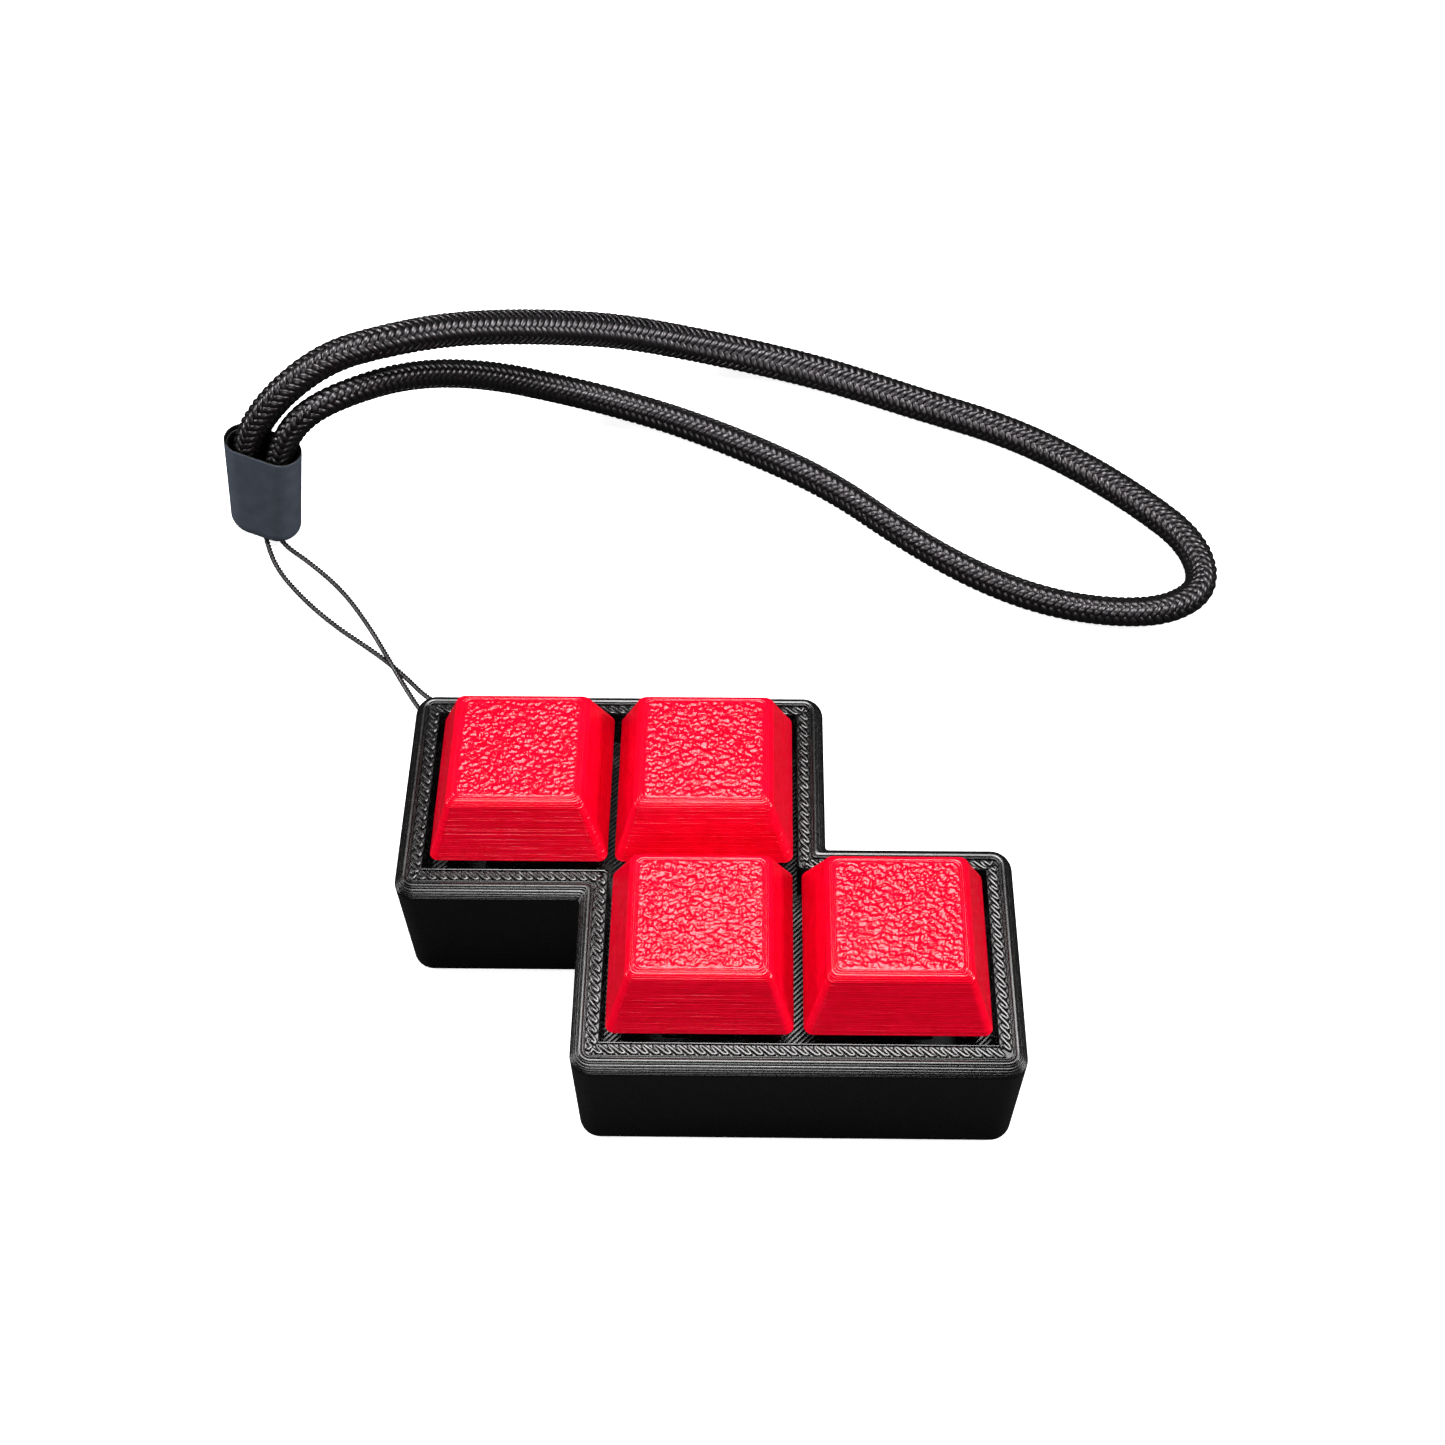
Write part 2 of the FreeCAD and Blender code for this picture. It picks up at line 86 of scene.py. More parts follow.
# Keycaps
CAP_LOW, CAP_HIGH = node_box("keycap_1")
CAP_FOOT, CAP_TOP = CAP_LOW[2], CAP_HIGH[2]
CAP_HALF = (CAP_HIGH[0] - CAP_LOW[0]) / 2
CAP_CROWN_HALF = 6.78              # where the sides and the crown would meet
CAP_CROWN_SHIFT = 0.42             # the crown sits a little behind the foot
CAP_CROWN_DEPTH = 0.973            # and is a little shorter than it is wide
CAP_EDGE_RADIUS = 1.05
CROWN_CORNER = 0.75
CAP_NUDGES = {1: (0.2, 0.0), 2: (0.06, 0.0), 3: (0.0, 0.0), 4: (0.03, 0.0)}
CAP_LAYER = 0.2
CAP_GRID = 140                     # mesh cells along each side of a crown

# Lanyard
SLEEVE_FOOT = np.array((-57.2, 59.75, 0.85))
SLEEVE_LEAN = math.radians(10)
SLEEVE_TURN = math.radians(-16)
SLEEVE_LENGTH = 15.4
SLEEVE_MOUTH = (2.27, 2.56)        # half the straight side, and the end radius
SLEEVE_NECK = (1.85, 2.62)
SLEEVE_WALL = 0.5
CORD_FLOOR = 2.05
LOOP_DIAMETER = 0.68
# The soft cord's width as it looks from above, at shares of its length: it is squeezed in the
# sleeve and at its tight bend.
CORD_WIDTHS = [(0, 3.5), (0.05, 3.7), (0.11, 4.1), (0.18, 4.75), (0.31, 4.75), (0.4, 4.35),
               (0.5, 4.1), (0.56, 3.6), (0.65, 3.55), (0.73, 4.0), (0.84, 3.85), (0.92, 3.3), (1, 3.1)]
CORD_GIRTH = 8.05                  # its width and thickness together

WRIST_ROUTE = [
    (-58.44, 60.31, 5.03), (-57.39, 60.31, 11.04), (-56.34, 60.45, 16.54), (-52.0, 61.8, 22.2),
    (-45.8, 65.3, 25.2), (-39.0, 67.8, 25.5), (-32.7, 72.4, 22.9), (-26.3, 77.1, 19.0),
    (-19.3, 82.3, 14.0), (-12.0, 86.6, 9.2), (-3.5, 89.0, 4.8), (6.0, 88.6, 2.5),
    (16.0, 85.6, CORD_FLOOR), (27.0, 80.6, CORD_FLOOR), (38.0, 76.0, CORD_FLOOR),
    (47.0, 70.0, CORD_FLOOR), (54.4, 63.4, CORD_FLOOR), (60.0, 57.0, CORD_FLOOR),
    (60.9, 50.0, CORD_FLOOR), (56.4, 46.2, CORD_FLOOR), (49.6, 45.5, CORD_FLOOR),
    (41.0, 47.1, CORD_FLOOR), (32.6, 51.2, CORD_FLOOR), (24.2, 57.5, CORD_FLOOR),
    (15.2, 65.9, CORD_FLOOR), (5.5, 72.0, CORD_FLOOR), (-5.0, 77.4, CORD_FLOOR),
    (-14.5, 80.2, 3.0), (-22.0, 79.5, 6.2), (-28.0, 77.0, 10.5), (-33.6, 73.1, 15.0),
    (-38.5, 68.6, 18.7), (-43.1, 64.5, 20.6), (-47.5, 61.5, 20.7), (-50.8, 60.2, 18.2),
    (-53.15, 59.25, 13.7), (-53.72, 59.19, 9.37), (-54.6, 59.19, 4.35),
]
LOOP_ROUTE = [
    (-57.3, 59.55, 3.3), (-57.15, 59.2, 1.6), (-56.9, 57.35, 0.5), (-54.8, 52.8, 0.45),
    (-50.3, 47.6, 0.45), (-45.7, 43.5, 0.45), (-41.3, 40.3, 0.45), (-37.1, 36.5, 0.8),
    (-33.2, 31.5, 2.4), (-28.2, 27.8, 4.7), (-23.3, 25.2, 6.1), (-22.6, 21.8, 6.0),
    (-22.6, 18.2, 6.0), (-27.2, 18.2, 6.0), (-27.2, 21.8, 6.0), (-29.6, 24.6, 5.6),
    (-33.4, 28.3, 4.1), (-36.0, 32.8, 2.6), (-39.0, 38.2, 1.8), (-42.1, 43.7, 0.9),
    (-46.3, 49.8, 0.45), (-51.2, 54.4, 0.45), (-54.8, 57.1, 0.5), (-56.0, 59.2, 1.6),
    (-56.15, 59.55, 3.3),
]


# ---------------------------------------------------------------- camera, floor and light

def place_camera():
    azimuth, elevation, roll = 0.02493, 0.96430, -0.01417
    back = Vector((math.sin(azimuth) * math.cos(elevation),
                   -math.cos(azimuth) * math.cos(elevation), math.sin(elevation)))
    level = Vector((math.cos(azimuth), math.sin(azimuth), 0))
    rise = back.cross(level)
    right = level * math.cos(roll) + rise * math.sin(roll)
    up = rise * math.cos(roll) - level * math.sin(roll)
    data = bpy.data.cameras.new("camera")
    data.sensor_width = 36
    data.lens = 46.59
    data.clip_start = 0.005
    camera = bpy.data.objects.new("camera", data)
    turn = Matrix((right, up, back)).transposed().to_4x4()
    camera.matrix_world = Matrix.Translation(Vector((4.587, -96.226, 182.476)) * MM) @ turn
    bpy.context.scene.collection.objects.link(camera)
    bpy.context.scene.camera = camera


def area_light(name, place, target, size, power):
    data = bpy.data.lights.new(name, "AREA")
    data.shape = "RECTANGLE"
    data.size, data.size_y = size[0] * MM, size[1] * MM
    data.energy = power
    light = bpy.data.objects.new(name, data)
    light.location = Vector(place) * MM
    aim = Vector(target) * MM - light.location
    light.rotation_euler = aim.to_track_quat("-Z", "Y").to_euler()
    bpy.context.scene.collection.objects.link(light)


def place_lights():
    """Soft panels above and around. The floor and the backdrop look white, but light the object less."""
    area_light("overhead", (-5, 105, 470), (0, 25, 10), (200, 190), 2.2)
    area_light("front", (-70, -390, 290), (0, 25, 10), (220, 130), 0.7)
    area_light("left", (-430, 40, 300), (0, 25, 10), (140, 140), 1.15)
    area_light("right", (430, -20, 340), (0, 25, 10), (140, 140), 2.0)
    world = bpy.data.worlds.new("studio")
    bpy.context.scene.world = world
    world.use_nodes = True
    background = world.node_tree.nodes["Background"]
    background.inputs["Color"].default_value = (1, 1, 1, 1)
    dim_for_object(world.node_tree, background.inputs["Strength"], 0.025, 1.0)


def dim_for_object(tree, socket, lighting, seen):
    """One value for the camera's own rays and another for the light that reaches the object."""
    path = tree.nodes.new("ShaderNodeLightPath")
    choice = tree.nodes.new("ShaderNodeMapRange")
    choice.inputs["To Min"].default_value = lighting
    choice.inputs["To Max"].default_value = seen
    tree.links.new(path.outputs["Is Camera Ray"], choice.inputs["Value"])
    tree.links.new(choice.outputs["Result"], socket)


def place_floor():
    bpy.ops.mesh.primitive_circle_add(vertices=128, radius=4.0, fill_type="NGON")
    floor = bpy.context.object
    floor.name = "floor"
    floor.data.materials.append(plain_floor())


# ---------------------------------------------------------------- materials

class Surface:
    """A material on the Principled shader, with patterns measured in millimetres."""

    def __init__(self, name, **sockets):
        self.material = bpy.data.materials.new(name)
        self.material.use_nodes = True
        self.nodes = self.material.node_tree.nodes
        self.links = self.material.node_tree.links
        self.shader = self.nodes["Principled BSDF"]
        for socket, value in sockets.items():
            self.shader.inputs[socket.replace("_", " ")].default_value = value
        place = self.nodes.new("ShaderNodeTexCoord")
        self.space = self.nodes.new("ShaderNodeMapping")
        self.space.inputs["Scale"].default_value = (1 / MM, 1 / MM, 1 / MM)
        self.links.new(place.outputs["Object"], self.space.inputs["Vector"])
        self.place = place
        self.height = None

    def follow_uv(self):
        """Patterns follow the mesh's own map in place of its position."""
        self.space.inputs["Scale"].default_value = (1, 1, 1)
        self.links.new(self.place.outputs["UV"], self.space.inputs["Vector"])

    def noise(self, scale, detail=2.0, stretch=None):
        pattern = self.nodes.new("ShaderNodeTexNoise")
        pattern.inputs["Scale"].default_value = scale
        pattern.inputs["Detail"].default_value = detail
        source = self.space.outputs["Vector"]
        if stretch:
            extra = self.nodes.new("ShaderNodeMapping")
            extra.inputs["Scale"].default_value = stretch
            self.links.new(source, extra.inputs["Vector"])
            source = extra.outputs["Vector"]
        self.links.new(source, pattern.inputs["Vector"])
        return pattern.outputs["Fac"]

    def bump(self, factor, depth, strength=1.0):
        """Adds relief of that depth in millimetres."""
        bump = self.nodes.new("ShaderNodeBump")
        bump.inputs["Distance"].default_value = depth * MM
        bump.inputs["Strength"].default_value = strength
        self.links.new(factor, bump.inputs["Height"])
        if self.height:
            self.links.new(self.height, bump.inputs["Normal"])
        self.height = bump.outputs["Normal"]
        self.links.new(self.height, self.shader.inputs["Normal"])
        return self

    def vary_roughness(self, factor, low, high):
        spread = self.nodes.new("ShaderNodeMapRange")
        spread.inputs["From Min"].default_value = 0.3
        spread.inputs["From Max"].default_value = 0.7
        spread.inputs["To Min"].default_value = low
        spread.inputs["To Max"].default_value = high
        self.links.new(factor, spread.inputs["Value"])
        self.links.new(spread.outputs["Result"], self.shader.inputs["Roughness"])
        return self

    def vary_colour(self, factor, dark, light):
        ramp = self.nodes.new("ShaderNodeValToRGB")
        ramp.color_ramp.elements[0].position = 0.3
        ramp.color_ramp.elements[1].position = 0.7
        ramp.color_ramp.elements[0].color = (*dark, 1)
        ramp.color_ramp.elements[1].color = (*light, 1)
        self.links.new(factor, ramp.inputs["Fac"])
        self.links.new(ramp.outputs["Color"], self.shader.inputs["Base Color"])
        return self


def plain_floor():
    floor = Surface("plain_floor", Roughness=0.9, Specular_IOR_Level=0.0,
                    Emission_Color=(1, 1, 1, 1), Emission_Strength=0.8)
    floor.vary_colour(floor.noise(0.01), (0.93, 0.93, 0.93), (0.95, 0.95, 0.95))
    shade = floor.nodes.new("ShaderNodeMixShader")
    matte = floor.nodes.new("ShaderNodeBsdfDiffuse")
    matte.inputs["Color"].default_value = (0.025, 0.025, 0.025, 1)
    dim_for_object(floor.material.node_tree, shade.inputs["Fac"], 0.0, 1.0)
    floor.links.new(matte.outputs["BSDF"], shade.inputs[1])
    floor.links.new(floor.shader.outputs["BSDF"], shade.inputs[2])
    floor.links.new(shade.outputs["Shader"], floor.nodes["Material Output"].inputs["Surface"])
    return floor.material


def printed_black():
    """The case's satin black filament."""
    case = Surface("printed_black", Specular_IOR_Level=0.72)
    case.vary_colour(case.noise(0.5, 3.0), (0.0014, 0.0010, 0.0009), (0.0030, 0.0024, 0.0024))
    case.vary_roughness(case.noise(1.3, 3.0, (1, 1, 4)), 0.22, 0.29)
    case.bump(case.noise(8.0, 2.0, (1, 1, 3)), 0.002)
    return case.material


def printed_red():
    """The caps' satin red filament."""
    red = Surface("printed_red", Specular_IOR_Level=0.3)
    red.vary_colour(red.noise(0.8, 3.0), (0.80, 0.0004, 0.015), (0.90, 0.0010, 0.024))
    red.vary_roughness(red.noise(2.2, 3.0, (1, 1, 5)), 0.14, 0.20)
    red.bump(red.noise(5.0, 3.0, (1, 1, 6)), 0.004)
    return red.material


def nylon(name, tone, roughness):
    """Black filament yarn, with its filaments along the yarn."""
    yarn = Surface(name, Specular_IOR_Level=0.85, Specular_Tint=(1.0, 0.93, 0.98, 1.0))
    yarn.follow_uv()
    yarn.vary_colour(yarn.noise(1.0), (tone * 0.6,) * 3, (tone * 1.5, tone * 1.45, tone * 1.6))
    yarn.vary_roughness(yarn.noise(2.0), roughness - 0.05, roughness + 0.07)
    yarn.bump(yarn.noise(5.0, 1.0, (1, 0.05, 1)), 0.03)
    return yarn.material


def sleeve_rubber():
    rubber = Surface("sleeve_rubber", Specular_IOR_Level=0.35)
    rubber.vary_colour(rubber.noise(0.6, 4.0), (0.092, 0.110, 0.143), (0.118, 0.140, 0.180))
    rubber.vary_roughness(rubber.noise(1.0), 0.38, 0.46)
    rubber.bump(rubber.noise(9.0, 3.0), 0.01)
    return rubber.material


def moulded(name, dark, light, rough=(0.3, 0.42), level=0.5):
    """Injection-moulded plastic with a fine spark-eroded grain."""
    plastic = Surface(name, Specular_IOR_Level=level)
    plastic.vary_colour(plastic.noise(0.7), dark, light)
    plastic.vary_roughness(plastic.noise(2.0, 3.0), *rough)
    plastic.bump(plastic.noise(18.0, 2.0), 0.006)
    return plastic.material


def clear_plastic():
    clear = Surface("clear_plastic", Base_Color=(0.93, 0.94, 0.95, 1), Transmission_Weight=0.92,
                    IOR=1.5, Specular_IOR_Level=0.5)
    clear.vary_roughness(clear.noise(1.5, 3.0), 0.10, 0.22)
    clear.bump(clear.noise(5.0, 2.0), 0.01)
    return clear.material


def metal(name, dark, light, rough):
    part = Surface(name, Metallic=1.0)
    part.vary_colour(part.noise(1.0), dark, light)
    part.vary_roughness(part.noise(3.0, 2.0, (1, 1, 0.2)), *rough)
    part.bump(part.noise(12.0, 1.0, (1, 1, 0.1)), 0.006)
    return part.material


# ---------------------------------------------------------------- mesh helpers

def mesh_piece(name, vertices, faces, material, smooth=True, crease=0):
    """A new mesh object from millimetre vertices."""
    data = bpy.data.meshes.new(name)
    data.from_pydata((np.asarray(vertices) * MM).tolist(), [], faces)
    data.validate()
    data.polygons.foreach_set("use_smooth", [smooth] * len(data.polygons))
    if crease:
        data.set_sharp_from_angle(angle=math.radians(crease))
    data.materials.append(material)
    piece = bpy.data.objects.new(name, data)
    bpy.context.scene.collection.objects.link(piece)
    return piece


def ring_faces(rings, around, start=0, wrap=False):
    """The quads between rings of vertices, each ring closed on itself."""
    faces = []
    last = rings if wrap else rings - 1
    for ring in range(last):
        here = start + ring * around
        there = start + (ring + 1) % rings * around
        for step in range(around):
            after = (step + 1) % around
            faces.append((here + step, here + after, there + after, there + step))
    return faces


def prism(outline, low, high):
    """A closed solid from a list of XY points."""
    count = len(outline)
    vertices = [(x, y, low) for x, y in outline] + [(x, y, high) for x, y in outline]
    faces = [tuple(range(count))[::-1], tuple(range(count, 2 * count))]
    faces += [(i, (i + 1) % count, count + (i + 1) % count, count + i) for i in range(count)]
    return vertices, faces


def cylinder(radius, start, end, sides=40):
    """A closed solid round the line from start to end."""
    start, end = Vector(start), Vector(end)
    turn = (end - start).to_track_quat("Z", "Y")
    ring = [turn @ Vector((radius * math.cos(a), radius * math.sin(a), 0))
            for a in np.linspace(0, 2 * math.pi, sides, endpoint=False)]
    vertices = [tuple(start + p) for p in ring] + [tuple(end + p) for p in ring]
    faces = [tuple(range(sides))[::-1], tuple(range(sides, 2 * sides))]
    faces += [(i, (i + 1) % sides, sides + (i + 1) % sides, sides + i) for i in range(sides)]
    return vertices, faces


def apply_modifiers(piece):
    bpy.context.view_layer.update()
    depsgraph = bpy.context.evaluated_depsgraph_get()
    result = bpy.data.meshes.new_from_object(piece.evaluated_get(depsgraph))
    piece.modifiers.clear()
    piece.data = result


def cut(piece, solids, operation="DIFFERENCE"):
    """Cuts closed solids, given as vertices and faces, out of a piece."""
    for vertices, faces in solids:
        cutter = mesh_piece("cutter", vertices, faces, piece.data.materials[0], False)
        step = piece.modifiers.new("cut", "BOOLEAN")
        step.operation = operation
        step.solver = "EXACT"
        step.object = cutter
        apply_modifiers(piece)
        bpy.data.objects.remove(cutter)


def join(pieces):
    """One piece from several, named as the first."""
    with bpy.context.temp_override(active_object=pieces[0], selected_editable_objects=pieces):
        bpy.ops.object.join()
    return pieces[0]


def hold(piece, body, slot, *nodes):
    """Puts a finished piece on its body, in place of CAD nodes."""
    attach(piece, body)
    if nodes:
        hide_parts(*nodes)
    return piece


# ---------------------------------------------------------------- case

def outline_corners(offset):
    """The Z-shaped outline, grown by offset, anticlockwise, with the corners that point in."""
    half, side = PITCH / 2, PITCH
    points = [
        (-half - offset, -side - offset), (1.5 * side + offset, -side - offset),
        (1.5 * side + offset, offset), (half + offset, offset),
        (half + offset, side + offset), (-1.5 * side - offset, side + offset),
        (-1.5 * side - offset, -offset), (-half - offset, -offset),
    ]
    return [np.array(p) for p in points], (3, 7)


OUTER_CORNERS, INWARD = outline_corners(OUTSIDE)
SIDE_STEPS = [max(2, round(np.linalg.norm(OUTER_CORNERS[(i + 1) % 8] - OUTER_CORNERS[i]) / 2.0))
              for i in range(8)]


def case_ring(offset, height):
    """The outline at an offset and height, with rounded corners and evenly divided sides."""
    corners, inward = outline_corners(offset)
    points, ends = [], []
    for i, corner in enumerate(corners):
        arrive = corner - corners[i - 1]
        leave = corners[(i + 1) % 8] - corner
        arrive, leave = arrive / np.linalg.norm(arrive), leave / np.linalg.norm(leave)
        radius = 0.5 if i in inward else max(0.12, offset - OUTSIDE + CORNER_RADIUS)
        turns = 5 if i in inward else 11
        centre = corner - arrive * radius + leave * radius
        arc = [centre - leave * radius * math.cos(t) + arrive * radius * math.sin(t)
               for t in np.linspace(0, math.pi / 2, turns)]
        ends.append(arc)
    for i, arc in enumerate(ends):
        points += arc
        start, end = arc[-1], ends[(i + 1) % 8][0]
        points += [start + (end - start) * s / SIDE_STEPS[i] for s in range(1, SIDE_STEPS[i])]
    return np.array([(x, y, height) for x, y in points])


def rim_inset(depth, radius):
    """How far in from the wall a rounded edge is, at a depth below its top."""
    return radius - math.sqrt(max(0.0, radius ** 2 - (radius - depth) ** 2))


def case_profile():
    """The wall's section as (offset, height) points: up the cavity, over the rim, down outside."""
    points = [(CAVITY, 0.0), (CAVITY, PLATE_BOTTOM), (CAVITY, PLATE_TOP)]
    height = PLATE_TOP
    while height < CASE_TOP - LAYER * 1.7:
        points += [(CAVITY, height + 0.2 * LAYER), (CAVITY, height + 0.8 * LAYER),
                   (CAVITY + 0.03, height + LAYER)]
        height += LAYER
    top = CASE_TOP
    ledge = OUTSIDE - RIM_LEDGE
    # the inner line, the sunken band, a thin line, a groove, and a wide line
    points += [(CAVITY, top - 0.1), (CAVITY + 0.03, top - 0.04), (CAVITY + 0.09, top - 0.05),
               (CAVITY + 0.12, top - 0.3), (BAND_END, top - 0.3), (BAND_END + 0.01, top - 0.08),
               (BAND_END + 0.05, top - 0.02), (BAND_END + 0.12, top - 0.01),
               (BAND_END + 0.18, top - 0.05), (BAND_END + 0.21, top - 0.14),
               (BAND_END + 0.25, top - 0.14), (BAND_END + 0.28, top - 0.07),
               (BAND_END + 0.35, top - 0.04), (ledge - 0.25, top - 0.01), (ledge - 0.1, top),
               (ledge - 0.04, top - 0.02), (ledge, top - 0.07)]
    # the rounded edge, as printed: one ledge for each layer
    step = 1
    before = ledge
    while step * LAYER < RIM_RADIUS:
        edge = OUTSIDE - rim_inset((step + 0.35) * LAYER, RIM_RADIUS)
        level = top - step * LAYER
        points += [(before, level), (max(before + 0.005, edge - 0.07), level),
                   (edge - 0.02, level - 0.035), (edge, level - 0.08)]
        before = edge
        step += 1
    level = top - step * LAYER
    while level > FOOT_RADIUS:
        points += [(OUTSIDE - 0.006, level), (OUTSIDE, level - 0.3 * LAYER),
                   (OUTSIDE, level - 0.7 * LAYER)]
        level -= LAYER
    while level > 0.01:
        edge = OUTSIDE - rim_inset(max(0.0, level - LAYER / 2), FOOT_RADIUS)
        points += [(edge, level), (edge - 0.01, max(0.0, level - 0.8 * LAYER))]
        level -= LAYER
    points.append((OUTSIDE - FOOT_RADIUS, 0.0))
    return points


def case_wall(material):
    rings = [case_ring(offset, height) for offset, height in reversed(case_profile())]
    around = len(rings[0])
    wall = mesh_piece("case_shell", np.concatenate(rings), ring_faces(len(rings), around, wrap=True),
                      material, True, 50)
    holes = [cylinder(LANYARD_HOLE_RADIUS, (x, PITCH - 1, LANYARD_HOLE_HEIGHT),
                      (x, PITCH + 5, LANYARD_HOLE_HEIGHT)) for x in LANYARD_HOLES]
    cut(wall, holes)
    return wall


def rim_stitch(material):
    """The filament that fills the rim between its lines: strokes to and fro at 45 degrees.

    Two strokes meet at each outer turn, and leave a small hole between them at the inner end.
    """
    pitch = 1.1
    near, far = CAVITY + 0.33, BAND_END - 0.21
    reach = far - near
    section = [(0.2, -0.12), (0.207, 0.02), (0.19, 0.07), (0.13, 0.098), (0.0, 0.108),
               (-0.13, 0.098), (-0.19, 0.07), (-0.207, 0.02), (-0.2, -0.12)]
    stroke = [(0.03, -0.07), (0.2, -0.03), (0.45, 0.02), (0.75, 0.05), (0.95, 0.09)]
    sides = len(section)
    inner, _ = outline_corners(near)
    outer, _ = outline_corners(far)
    vertices, faces = [], []
    for i in range(8):
        start, end = inner[i], inner[(i + 1) % 8]
        along = (end - start) / np.linalg.norm(end - start)
        out = np.array((along[1], -along[0]))
        lean = reach if abs(along[0]) > 0.5 else -reach
        low = min(0.0, (outer[i] - start) @ along) - 2
        high = max(np.linalg.norm(end - start), (outer[(i + 1) % 8] - start) @ along) + 2
        path = []
        for k in range(int((high - low) / pitch)):
            at = low + k * pitch + 0.05 * noise.noise(Vector((k * 0.7, i, 0)))
            path += [(at + lean * depth + shift, reach * depth) for depth, shift in stroke]
            path.append((at + lean + 0.3 * pitch, reach * 1.02))
            path += [(at + 0.57 * pitch + lean * depth - shift, reach * depth)
                     for depth, shift in reversed(stroke)]
            path.append((at + 0.82 * pitch, -0.02 * reach))
        path = [(s, d) for s, d in path if clear_of_corner(s, d, i, start, along, inner, outer)]
        base = len(vertices)
        points = np.array([start + along * s + out * d for s, d in path])
        run = np.gradient(points, axis=0)
        run /= np.linalg.norm(run, axis=1)[:, None]
        across = np.stack([run[:, 1], -run[:, 0]], axis=1)
        for point, side in zip(points, across):
            rise = 0.03 * noise.noise(Vector((point[0] * 2, point[1] * 2, 3.0)))
            swell = 1 + 0.1 * noise.noise(Vector((point[0] * 3, point[1] * 3, 9.0)))
            for wide, tall in section:
                flat = point + side * wide * swell
                vertices.append((flat[0], flat[1], CASE_TOP - 0.125 + tall + rise))
        faces += ring_faces(len(path), sides, base)
        faces.append(tuple(range(base, base + sides))[::-1])
        faces.append(tuple(range(len(vertices) - sides, len(vertices))))
    return mesh_piece("rim_stitch", vertices, faces, material)


def clear_of_corner(s, depth, i, start, along, inner, outer):
    """Whether a point of the filling lies between its side's two mitred corners."""
    j = (i + 1) % 8
    share = depth / (np.linalg.norm(outer[i] - inner[i]) / math.sqrt(2))
    left = (inner[i] + (outer[i] - inner[i]) * share - start) @ along
    right = (inner[j] + (outer[j] - inner[j]) * share - start) @ along
    return left + 0.1 < s < right - 0.1


def case_plate(material):
    """The switch plate: its top is rows of filament at 45 degrees, with four square holes."""
    pitch, reach = 0.42, 45.0
    diagonal, across = np.array((1, 1)) / math.sqrt(2), np.array((1, -1)) / math.sqrt(2)
    profile = []
    for k in range(int(-reach / pitch), int(reach / pitch)):
        at = k * pitch
        profile += [(at, PLATE_TOP - 0.09), (at + 0.3 * pitch, PLATE_TOP), (at + 0.7 * pitch, PLATE_TOP)]
    profile += [(profile[-1][0] + 0.5, PLATE_BOTTOM), (profile[0][0] - 0.5, PLATE_BOTTOM)]
    vertices, count = [], len(profile)
    for end in (-reach, reach):
        for at, height in profile:
            flat = diagonal * end + across * at
            vertices.append((flat[0], flat[1], height))
    faces = [tuple(range(count)), tuple(range(count, 2 * count))[::-1]]
    faces += [((i + 1) % count, i, count + i, count + (i + 1) % count) for i in range(count)]
    plate = mesh_piece("plate", vertices, faces, material, False)
    corners, _ = outline_corners(CAVITY + 0.05)
    cut(plate, [prism(corners, PLATE_BOTTOM - 1, PLATE_TOP + 1)], "INTERSECT")
    half = PLATE_HOLE / 2
    for x, y in KEY_CENTRES.values():
        square = [(x - half, y - half), (x + half, y - half), (x + half, y + half), (x - half, y + half)]
        cut(plate, [prism(square, PLATE_BOTTOM - 2, PLATE_TOP + 2)])
    return plate


def case_bosses(material):
    """Three hollow bosses under the plate, for the base cover's pegs."""
    bosses = []
    for x, y in ((-PITCH / 2, PITCH / 2), (0, 0), (PITCH / 2, -PITCH / 2)):
        boss = mesh_piece("boss", *cylinder(2.1, (x, y, 2.0), (x, y, PLATE_BOTTOM + 0.05), 48),
                          material, False)
        cut(boss, [cylinder(1.29, (x, y, 1.0), (x, y, 7.0), 40)])
        bosses.append(boss)
    return bosses


def make_case(material):
    shell = join([case_wall(material), case_plate(material)] + case_bosses(material))
    hold(shell, "root", "case_plastic", "case_body")
    hold(rim_stitch(material), "root", "case_plastic")


# ---------------------------------------------------------------- keycaps

def rounded_square(half, radius, shift, height, per_side):
    """A ring of a rounded square, evenly spaced along each side, starting at a corner's middle."""
    points = []
    for side in range(4):
        turn = side * math.pi / 2
        cos, sin = math.cos(turn), math.sin(turn)
        for k in range(per_side):
            t = -1 + 2 * k / per_side
            x, y = half, half * t
            over = abs(y) - (half - radius)
            if over > 0:
                angle = over / radius * math.pi / 4
                x = half - radius + radius * math.cos(angle)
                y = math.copysign(half - radius + radius * math.sin(angle), t)
            points.append((cos * x - sin * y, sin * x + cos * y + shift, height))
    return np.array(points)


